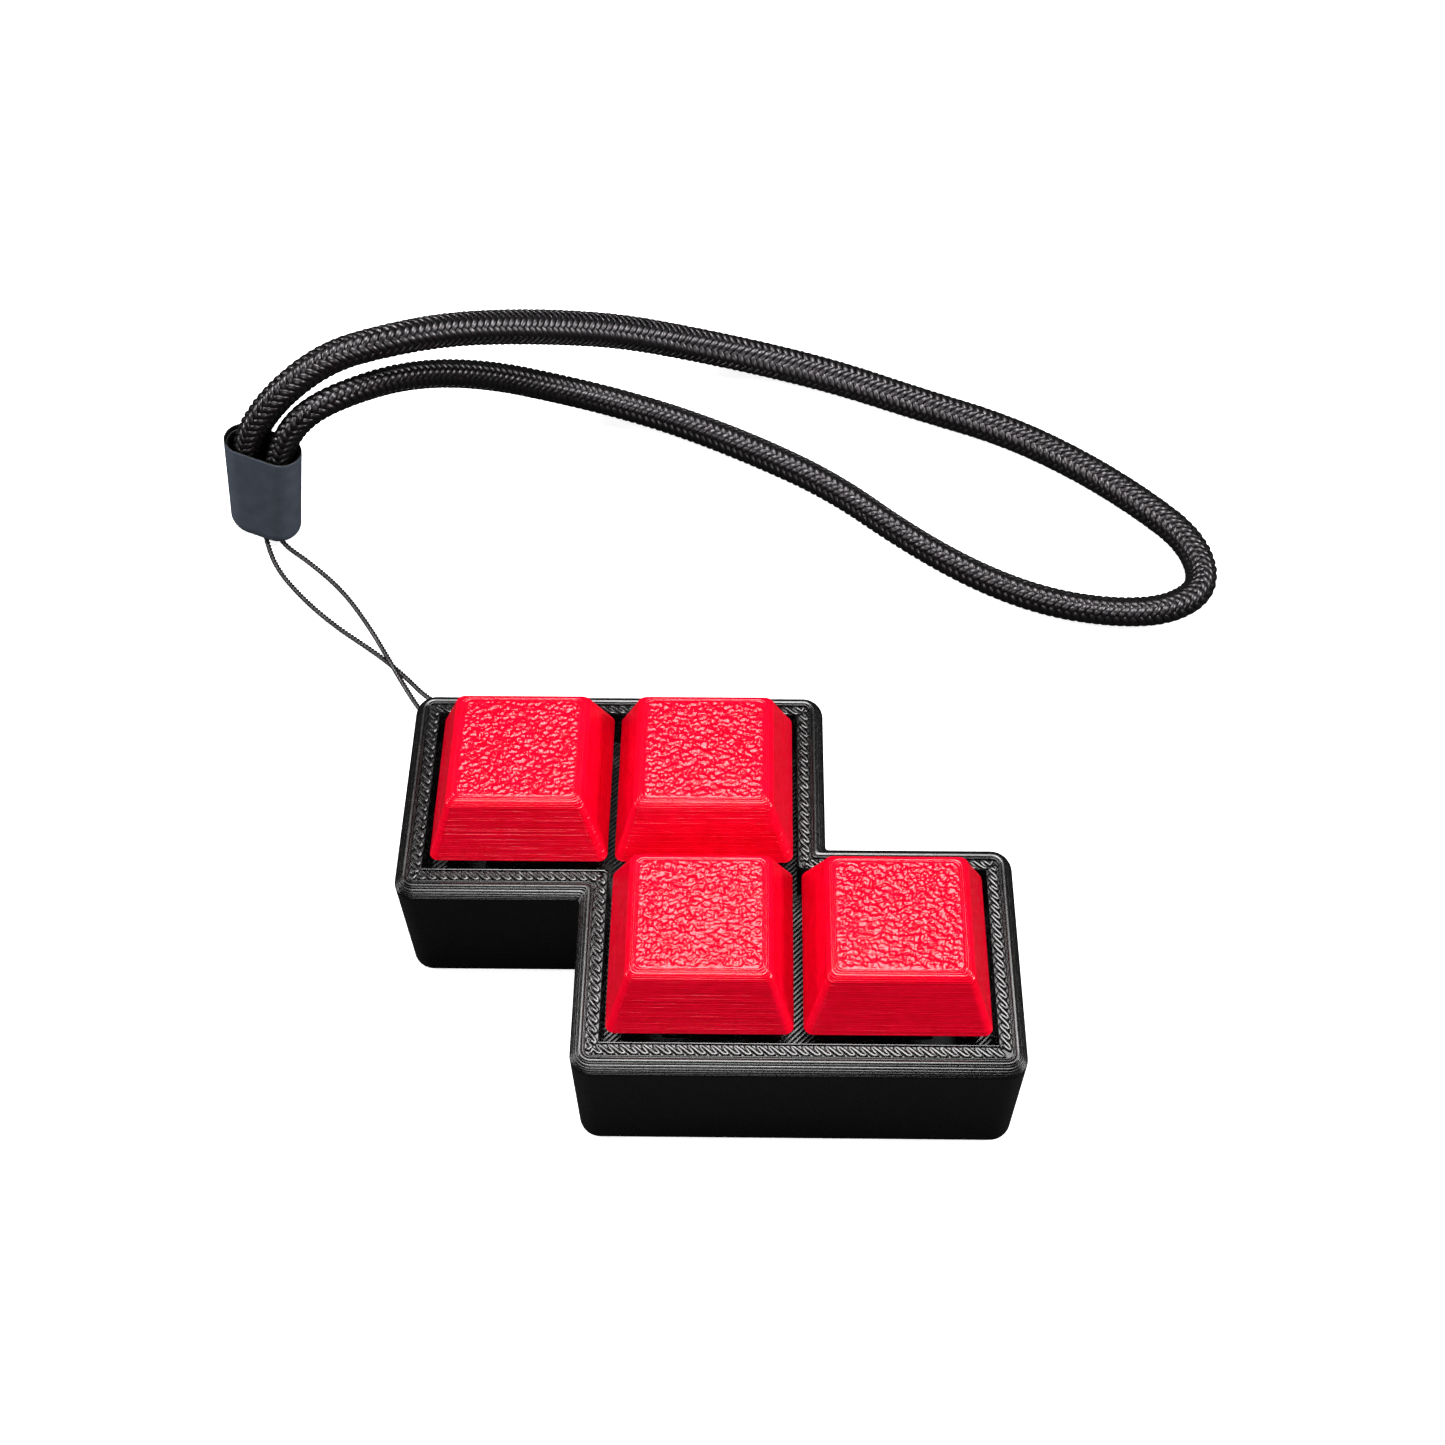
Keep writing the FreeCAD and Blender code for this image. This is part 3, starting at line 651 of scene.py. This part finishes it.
def cap_sides():
    """The cap's outer rings as (half width, height, layer): printed layers, then a beaded edge."""
    rise = CAP_TOP - CAP_FOOT
    slope = (CAP_HALF - CAP_CROWN_HALF) / rise
    lean = math.atan2(1, slope)
    tangent = CAP_EDGE_RADIUS * math.tan(lean / 2)
    start = CAP_TOP - tangent * math.sin(lean)
    levels = []
    count = round((start - CAP_FOOT) / CAP_LAYER)
    thick = (start - CAP_FOOT) / count
    for layer in range(count):
        low = CAP_FOOT + layer * thick
        for share, groove in ((0.0, 0.016), (0.16, 0.0), (0.8, 0.0)):
            height = low + share * thick
            levels.append((CAP_HALF - slope * (height - CAP_FOOT) - groove, height, layer))
    beads = 5
    for step in range(beads * 4 + 1):
        angle = lean * (1 - step / (beads * 4))
        bulge = CAP_EDGE_RADIUS - 0.05 * (1 - abs(math.sin(math.pi * step / 4)))
        levels.append((CAP_CROWN_HALF - tangent + bulge * math.sin(angle),
                       CAP_TOP - CAP_EDGE_RADIUS + bulge * math.cos(angle), count + step // 4))
    return levels


def crown_relief(x, y, seed):
    """The height of the leather-like grain, in millimetres."""
    place = Vector((x * 2.2, y * 2.7, seed * 7.3))
    place += noise.noise_vector(place * 0.7) * 0.45
    return 0.085 * noise.noise(place) + 0.04 * noise.noise(place * 2.1 + Vector((9, 4, 2)))


def cap_crown(ring, shift, seed):
    """A square grid inside a ring of the crown, with the grain raised on it."""
    count = CAP_GRID
    half = np.abs(ring[:, 0]).max()
    vertices, index = [], {}
    for row in range(1, count):
        for column in range(1, count):
            u, v = -1 + 2 * column / count, -1 + 2 * row / count
            x, y = square_to_rounded(u, v, half, CROWN_CORNER)
            edge = min(1.0, (1 - max(abs(u), abs(v))) * 14)
            height = CAP_TOP - 0.03 + crown_relief(x, y, seed) * edge
            index[(column, row)] = len(vertices)
            vertices.append((x, y * CAP_CROWN_DEPTH + shift, height))
    return vertices, index


def square_to_rounded(u, v, half, radius):
    """Moves a point of a square into the same square with rounded corners."""
    x, y = u * half, v * half
    straight = half - radius
    over_x, over_y = abs(x) - straight, abs(y) - straight
    if over_x > 0 and over_y > 0:
        reach = max(over_x, over_y)
        length = math.hypot(over_x, over_y)
        x = math.copysign(straight + over_x / length * reach, x)
        y = math.copysign(straight + over_y / length * reach, y)
    return x, y


def make_cap(key, material):
    centre_x, centre_y = KEY_CENTRES[key]
    nudge_x, nudge_y = CAP_NUDGES[key]
    rise = CAP_TOP - CAP_FOOT
    rings = []
    for half, height, layer in cap_sides():
        share = (height - CAP_FOOT) / rise
        corner = 0.95 - 0.2 * share
        ring = rounded_square(half, corner, 0, height, CAP_GRID)
        ring[:, 1] *= 1 + share * (CAP_CROWN_DEPTH - 1)
        ring[:, 1] += CAP_CROWN_SHIFT * share
        outward = ring[:, :2] - (0, CAP_CROWN_SHIFT * share)
        outward /= np.linalg.norm(outward, axis=1)[:, None]
        wander = 0.02 * noise.noise(Vector((layer * 5.3, key, 1)))
        rough = [wander + 0.009 * noise.noise(Vector((x * 0.4, y * 0.4, layer * 3.7 + key * 50)))
                 for x, y, _ in ring]
        ring[:, :2] += outward * np.array(rough)[:, None]
        rings.append(ring)
    around = len(rings[-1])
    vertices = [tuple(p) for ring in rings for p in ring]
    faces = ring_faces(len(rings), around)
    crown, index = cap_crown(rings[-1], CAP_CROWN_SHIFT, key)
    start = len(vertices)
    vertices += crown
    faces += crown_faces(index, start, (len(rings) - 1) * around, around)
    inner_vertices, inner_faces = cap_hollow(len(vertices), around)
    vertices += inner_vertices
    faces += inner_faces
    vertices = np.array(vertices) + (centre_x + nudge_x, centre_y + nudge_y, 0)
    cap = mesh_piece(f"cap_{key}", vertices, faces, material, True, 32)
    hold(join([cap, cap_post(centre_x, centre_y, material)]), f"key_{key}", "keycap_plastic",
         f"keycap_{key}")


def crown_faces(index, start, border, around):
    """Quads of the crown's grid, with its outermost row joined to the border ring."""
    count = CAP_GRID

    def at(column, row):
        if (column, row) in index:
            return start + index[(column, row)]
        # the border ring begins at the corner +x, -y and runs anticlockwise
        if column == count:
            step = row
        elif row == count:
            step = count + (count - column)
        elif column == 0:
            step = 2 * count + (count - row)
        else:
            step = 3 * count + column
        return border + step % around

    return [(at(c, r), at(c + 1, r), at(c + 1, r + 1), at(c, r + 1))
            for r in range(count) for c in range(count)]


def cap_hollow(first, around):
    """The underside: a thin foot, sloping inner walls and a flat ceiling."""
    wall, ceiling = 1.2, CAP_TOP - 1.8
    share = (ceiling - CAP_FOOT) / (CAP_TOP - CAP_FOOT)
    low_half = CAP_HALF - wall
    high_half = low_half - share * (CAP_HALF - CAP_CROWN_HALF)
    rings = [rounded_square(low_half, 0.5, 0, CAP_FOOT + 0.01, CAP_GRID),
             rounded_square(high_half, 0.5, share * CAP_CROWN_SHIFT, ceiling, CAP_GRID)]
    vertices = [tuple(p) for ring in rings for p in ring]
    faces = [tuple(reversed(f)) for f in ring_faces(2, around, first)]
    faces += [(step, first + step, first + (step + 1) % around, (step + 1) % around)
              for step in range(around)]
    top = first + around
    faces.append(tuple(reversed(range(top, top + around))))
    return vertices, faces


def cap_post(x, y, material):
    """The round post inside the cap, with its cross-shaped socket."""
    low, high = PLATE_TOP + 7.5, CAP_TOP - 1.75
    post = mesh_piece("post", *cylinder(2.75, (x, y, low), (x, y, high), 48), material, False)
    for half_x, half_y in ((2.03, 0.68), (0.615, 2.03)):
        arm = [(x - half_x, y - half_y), (x + half_x, y - half_y), (x + half_x, y + half_y),
               (x - half_x, y + half_y)]
        cut(post, [prism(arm, low - 1, high - 0.6)])
    return post


# ---------------------------------------------------------------- switches

def softened(node, width, material):
    """A copy of a CAD node's mesh with its sharp edges rounded."""
    piece = bpy.data.objects.new(f"{node}_moulding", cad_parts[node].data.copy())
    bpy.context.scene.collection.objects.link(piece)
    mesh = bmesh.new()
    mesh.from_mesh(piece.data)
    bmesh.ops.remove_doubles(mesh, verts=mesh.verts, dist=0.001 * MM)
    bmesh.ops.dissolve_limit(mesh, angle_limit=math.radians(0.5), verts=mesh.verts, edges=mesh.edges)
    mesh.to_mesh(piece.data)
    mesh.free()
    piece.data.materials.clear()
    piece.data.materials.append(material)
    bevel = piece.modifiers.new("edges", "BEVEL")
    bevel.width = width * MM
    bevel.segments = 2
    bevel.limit_method = "ANGLE"
    bevel.angle_limit = math.radians(35)
    apply_modifiers(piece)
    piece.data.polygons.foreach_set("use_smooth", [False] * len(piece.data.polygons))
    return piece


def make_switches(black, clear, stem, jacket, steel, brass):
    for key in KEYS:
        base, top = f"switch_base_{key}", f"switch_top_{key}"
        hold(softened(base, 0.06, black), "root", "housing_black", base)
        hold(softened(top, 0.08, clear), "root", "housing_clear", top)
        finish = {"switch_stem": stem, "click_jacket": jacket, "contact_leaf": brass,
                  "fixed_contact": brass}
        for name, material in finish.items():
            dress(f"{name}_{key}", material)
        make_spring(key, steel)


def dress(node, material):
    """Gives a CAD node a better material."""
    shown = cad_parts[node]
    for slot in shown.material_slots:
        slot.material = material


def make_spring(key, material):
    """A coil with closed ends."""
    low, high = node_box(f"return_spring_{key}")
    x, y = KEY_CENTRES[key]
    wire, turns, per_turn, sides = 0.3, 10, 16, 6
    radius = (high[0] - low[0] - wire) / 2
    steps = turns * per_turn
    closed = 1.5 * wire
    rows = []
    for step in range(steps + 1):
        turn = step / per_turn
        if turn < 1.5:
            rise = closed * turn / 1.5
        elif turn > turns - 1.5:
            rise = (high[2] - low[2] - wire) - closed * (turns - turn) / 1.5
        else:
            rise = closed + (turn - 1.5) / (turns - 3) * (high[2] - low[2] - wire - 2 * closed)
        angle = 2 * math.pi * turn
        out = np.array((math.cos(angle), math.sin(angle), 0))
        centre = np.array((x, y, low[2] + wire / 2 + rise)) + out * radius
        for a in np.linspace(0, 2 * math.pi, sides, endpoint=False):
            rows.append(centre + out * wire / 2 * math.cos(a) + np.array((0, 0, wire / 2 * math.sin(a))))
    faces = ring_faces(steps + 1, sides)
    faces.append(tuple(range(sides))[::-1])
    faces.append(tuple(range(steps * sides, (steps + 1) * sides)))
    spring = mesh_piece(f"spring_coil_{key}", rows, faces, material)
    hold(spring, "root", "spring_steel", f"return_spring_{key}")
    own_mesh(spring)


# ---------------------------------------------------------------- lanyard

def route_line(route, resolution):
    """Points along the smooth line that a route's points control, in millimetres."""
    curve = bpy.data.curves.new("route", "CURVE")
    curve.dimensions = "3D"
    spline = curve.splines.new("NURBS")
    spline.points.add(len(route) - 1)
    for point, place in zip(spline.points, route):
        point.co = (*(Vector(place) * MM), 1)
    spline.order_u = 3
    spline.use_endpoint_u = True
    spline.resolution_u = resolution
    guide = bpy.data.objects.new("route", curve)
    bpy.context.scene.collection.objects.link(guide)
    bpy.context.view_layer.update()
    line = bpy.data.meshes.new_from_object(guide.evaluated_get(bpy.context.evaluated_depsgraph_get()))
    points = np.array([v.co for v in line.vertices]) / MM
    bpy.data.objects.remove(guide)
    return points


def evenly(points, count):
    """The line's points again, at equal distances, with its length."""
    steps = np.linalg.norm(np.diff(points, axis=0), axis=1)
    along = np.concatenate([[0], np.cumsum(steps)])
    at = np.linspace(0, along[-1], count)
    return np.stack([np.interp(at, along, points[:, k]) for k in range(3)], axis=1), along[-1]


def frames_along(points, hint):
    """Tangents, and two unit normals that turn smoothly along the line."""
    tangent = np.gradient(points, axis=0)
    tangent /= np.linalg.norm(tangent, axis=1)[:, None]
    first = np.array(hint, float)
    normals = []
    for t in tangent:
        first = first - t * (first @ t)
        first /= np.linalg.norm(first)
        normals.append(first)
    normals = np.array(normals)
    return tangent, normals, np.cross(tangent, normals)


def oval_frames(points):
    """Tangents and the two half axes of the cord's oval section, which lies across the view."""
    view = np.array((0.0, -0.57, 0.82))
    tangent = np.gradient(points, axis=0)
    tangent /= np.linalg.norm(tangent, axis=1)[:, None]
    side = np.cross(tangent, view)
    side /= np.linalg.norm(side, axis=1)[:, None]
    face = np.cross(side, tangent)
    share = np.linspace(0, 1, len(points))
    width = np.interp(share, *np.array(CORD_WIDTHS).T)
    blur = np.hanning(61) / np.hanning(61).sum()
    width = np.convolve(np.pad(width, 30, mode="edge"), blur, mode="valid")
    depth = np.clip(CORD_GIRTH - width, 3.35, 4.15)
    return tangent, side * (width / 2)[:, None], face * (depth / 2)[:, None]


def tube_faces(count, sides, first):
    faces = ring_faces(count, sides, first)
    faces.append(tuple(range(first, first + sides))[::-1])
    faces.append(tuple(range(first + (count - 1) * sides, first + count * sides)))
    return faces


def set_map(piece, across, along):
    """Stores a map whose V runs along the yarns, for the filament pattern."""
    layer = piece.data.uv_layers.new(name="yarn")
    loops = np.empty(len(piece.data.loops), int)
    piece.data.loops.foreach_get("vertex_index", loops)
    uv = np.stack([np.asarray(across)[loops], np.asarray(along)[loops]], axis=1)
    layer.data.foreach_set("uv", uv.astype(np.float32).ravel())


def braid_yarns(name, points, hand, material):
    """Half the yarns of a two-over, two-under braid, all wound the same way."""
    yarns, lay = 8, 7.5            # yarns wound each way, and the length of one turn
    thick, broad, crimp = 0.19, 0.42, 0.16
    tangent, wide, thin = oval_frames(points)
    along = np.concatenate([[0], np.cumsum(np.linalg.norm(np.diff(points, axis=0), axis=1))])
    count = len(points)
    profile = [(-1, -0.2), (-0.8, 0.45), (-0.35, 0.93), (0.35, 0.93), (0.8, 0.45), (1, -0.2), (0, -0.8)]
    vertices, faces, across, length = [], [], [], []
    for yarn in range(yarns):
        crossing = 2 * yarns * along / lay
        if hand > 0:
            lift = np.cos((crossing + 2 * yarn - 0.5) * math.pi / 2)
        else:
            lift = -np.cos((2 * yarn - crossing - 0.5) * math.pi / 2)
        lift = np.tanh(1.3 * lift) / math.tanh(1.3)
        angle = hand * 2 * math.pi * along / lay + 2 * math.pi * yarn / yarns
        cos, sin = np.cos(angle)[:, None], np.sin(angle)[:, None]
        on_oval = wide * cos + thin * sin
        outward = on_oval / np.linalg.norm(on_oval, axis=1)[:, None]
        depth = (crimp * lift - thick - crimp)[:, None]
        centre = points + on_oval + outward * depth
        run = np.gradient(centre, axis=0)
        run /= np.linalg.norm(run, axis=1)[:, None]
        side = np.cross(run, outward)
        side /= np.linalg.norm(side, axis=1)[:, None]
        spread = (broad * (0.93 + 0.12 * lift))[:, None]
        section = [side * spread * a + outward * thick * b for a, b in profile]
        vertices.append(np.stack([centre + s for s in section], axis=1).reshape(-1, 3))
        faces += tube_faces(count, len(profile), yarn * count * len(profile))
        across.append(np.tile([a for a, _ in profile], count) + yarn * 1.7)
        length.append(np.repeat(along, len(profile)) + yarn * 3.1)
    piece = mesh_piece(name, np.concatenate(vertices), faces, material)
    set_map(piece, np.concatenate(across), np.concatenate(length))
    return piece


def cord_core(name, points, material):
    """The dark filling inside the braid."""
    sides = 16
    _, wide, thin = oval_frames(points)
    ring = [points + wide * 0.8 * math.cos(a) + thin * 0.78 * math.sin(a)
            for a in np.linspace(0, 2 * math.pi, sides, endpoint=False)]
    vertices = np.stack(ring, axis=1).reshape(-1, 3)
    piece = mesh_piece(name, vertices, tube_faces(len(points), sides, 0), material)
    set_map(piece, np.zeros(len(vertices)), np.zeros(len(vertices)))
    return piece


def make_wrist_cord(yarn, filling):
    line = route_line(WRIST_ROUTE, 24)
    points, length = evenly(line, 1100)
    left = braid_yarns("wrist_cord_braid", points, 1, yarn)
    right = braid_yarns("wrist_cord_braid_counter", points, -1, yarn)
    core = cord_core("wrist_cord_core", points, filling)
    hold(left, "root", "cord_nylon", "wrist_cord")
    hold(right, "root", "cord_nylon")
    hold(core, "root", "cord_nylon")


def make_loop_cord(yarn):
    """Three fine yarns twisted together."""
    line = route_line(LOOP_ROUTE, 16)
    points, length = evenly(line, 900)
    _, first, second = frames_along(points, (1, 0, 0.3))
    along = np.linspace(0, length, len(points))
    lay, sides, yarn_radius = 1.5, 6, LOOP_DIAMETER * 0.27
    orbit = LOOP_DIAMETER / 2 - yarn_radius
    vertices, faces, across, run = [], [], [], []
    for strand in range(3):
        angle = 2 * math.pi * (along / lay + strand / 3)
        centre = points + orbit * (first * np.cos(angle)[:, None] + second * np.sin(angle)[:, None])
        start = strand * len(points) * sides
        ring = [centre + yarn_radius * (first * math.cos(a) + second * math.sin(a))
                for a in np.linspace(0, 2 * math.pi, sides, endpoint=False)]
        vertices.append(np.stack(ring, axis=1).reshape(-1, 3))
        faces += tube_faces(len(points), sides, start)
        across.append(np.tile(np.linspace(0, 1, sides), len(points)))
        run.append(np.repeat(along, sides))
    piece = mesh_piece("loop_cord_twist", np.concatenate(vertices), faces, yarn)
    set_map(piece, np.concatenate(across), np.concatenate(run))
    hold(piece, "root", "cord_nylon", "loop_cord")


def stadium(straight, radius, height, arc_steps=24):
    points = []
    for side in (1, -1):
        for t in np.linspace(-math.pi / 2, math.pi / 2, arc_steps):
            points.append((side * (straight + radius * math.cos(t)), side * radius * math.sin(t), height))
    return np.array(points)


def in_sleeve(points):
    """From the sleeve's own frame, whose Z is its axis, to its place."""
    turn = (Matrix.Rotation(SLEEVE_LEAN, 3, "Y") @ Matrix.Rotation(SLEEVE_TURN, 3, "Z"))
    return np.asarray(points) @ np.array(turn).T + SLEEVE_FOOT


def sleeve_ring(height, inset=0.0, narrow=0.0):
    """The sleeve's section at a height, taken in by inset all round and by narrow at its ends."""
    share = height / SLEEVE_LENGTH
    straight = SLEEVE_NECK[0] + share * (SLEEVE_MOUTH[0] - SLEEVE_NECK[0])
    radius = SLEEVE_NECK[1] + share * (SLEEVE_MOUTH[1] - SLEEVE_NECK[1])
    return stadium(straight - narrow, radius - inset, height)


def make_sleeve(rubber, mouth_shade):
    """A soft sleeve with a thin lip, a step just inside it, and rounded lower corners; its lip and inside
    carry painted shade.
    """
    corner, lip = 2.0, SLEEVE_LENGTH
    rings = [sleeve_ring(corner * (1 - math.cos(t)), 1.2 * (1 - math.sin(t)), 1.0 * (1 - math.sin(t)))
             for t in np.linspace(0, math.pi / 2, 12)]
    rings += [sleeve_ring(height) for height in np.linspace(corner + 0.5, lip - 0.3, 18)]
    rings += [sleeve_ring(lip - drop, inset) for inset, drop in ((0.0, 0.12), (0.03, 0.04))]
    outside = len(rings)
    for inset, drop in ((0.08, 0.0), (0.15, 0.0), (0.2, 0.05), (0.23, 0.14), (0.24, 0.5),
                        (0.27, 0.56), (0.38, 0.56), (0.45, 0.6), (0.49, 0.7), (SLEEVE_WALL, 1.0),
                        (SLEEVE_WALL, 5.0), (SLEEVE_WALL, 12.5), (1.1, 12.95)):
        rings.append(sleeve_ring(lip - drop, inset))
    around = len(rings[0])
    vertices = in_sleeve(np.concatenate(rings))
    faces = ring_faces(len(rings), around)
    faces.append(tuple(range(around))[::-1])
    faces.append(tuple(range(len(vertices) - around, len(vertices))))
    sleeve = mesh_piece("sleeve_shell", vertices, faces, rubber, True, 60)
    # The lip and the inside of the mouth take the second, near-black material: painted shade inside the
    # sleeve's mouth.
    sleeve.data.materials.append(mouth_shade)
    for face in sleeve.data.polygons:
        if around < len(face.vertices) + 1 or min(face.vertices) >= (outside - 1) * around:
            face.material_index = 1 if min(face.vertices) > 0 else 0
    groove = prism([(-0.9, -6.0), (2.1, -6.0), (2.1, 0.8), (-0.9, 0.8)], -2.0, 0.6)
    slot = prism([(-1.3, -0.8), (1.3, -0.8), (1.3, 0.8), (-1.3, 0.8)], 0.3, 3.2)
    cut(sleeve, [(in_sleeve(v), f) for v, f in (groove, slot)])
    hold(sleeve, "root", "sleeve_rubber", "lanyard_sleeve")


# ---------------------------------------------------------------- the whole

def main():
    bpy.context.scene.view_settings.view_transform = "Standard"
    place_camera()
    yarn = nylon("braid_yarn", 0.003, 0.32)
    twine = nylon("loop_yarn", 0.004, 0.35)
    filling = moulded("cord_filling", (0.002, 0.002, 0.002), (0.004, 0.004, 0.004), (0.7, 0.8), 0.2)
    make_wrist_cord(yarn, filling)
    make_loop_cord(twine)
    place_lights()
    place_floor()
    black = printed_black()
    make_case(black)
    dress("base_cover", black)
    red = printed_red()
    for key in KEYS:
        make_cap(key, red)
    make_switches(
        moulded("housing_black", (0.008, 0.008, 0.009), (0.014, 0.014, 0.015)),
        clear_plastic(),
        moulded("stem_blue", (0.03, 0.16, 0.45), (0.05, 0.22, 0.56), (0.25, 0.35)),
        moulded("jacket_white", (0.72, 0.72, 0.70), (0.82, 0.82, 0.80), (0.25, 0.35)),
        metal("spring_wire", (0.55, 0.55, 0.56), (0.72, 0.72, 0.73), (0.2, 0.32)),
        metal("contact_strip", (0.62, 0.45, 0.20), (0.78, 0.60, 0.32), (0.25, 0.4)))
    # the near-black second material is painted shade for the sleeve's lip and mouth
    make_sleeve(sleeve_rubber(), moulded("sleeve_mouth_painted_shade", (0.003, 0.003, 0.003), (0.006, 0.006, 0.006),
                                         (0.35, 0.5), 0.4))
    dress("cord_binding", filling)


main()
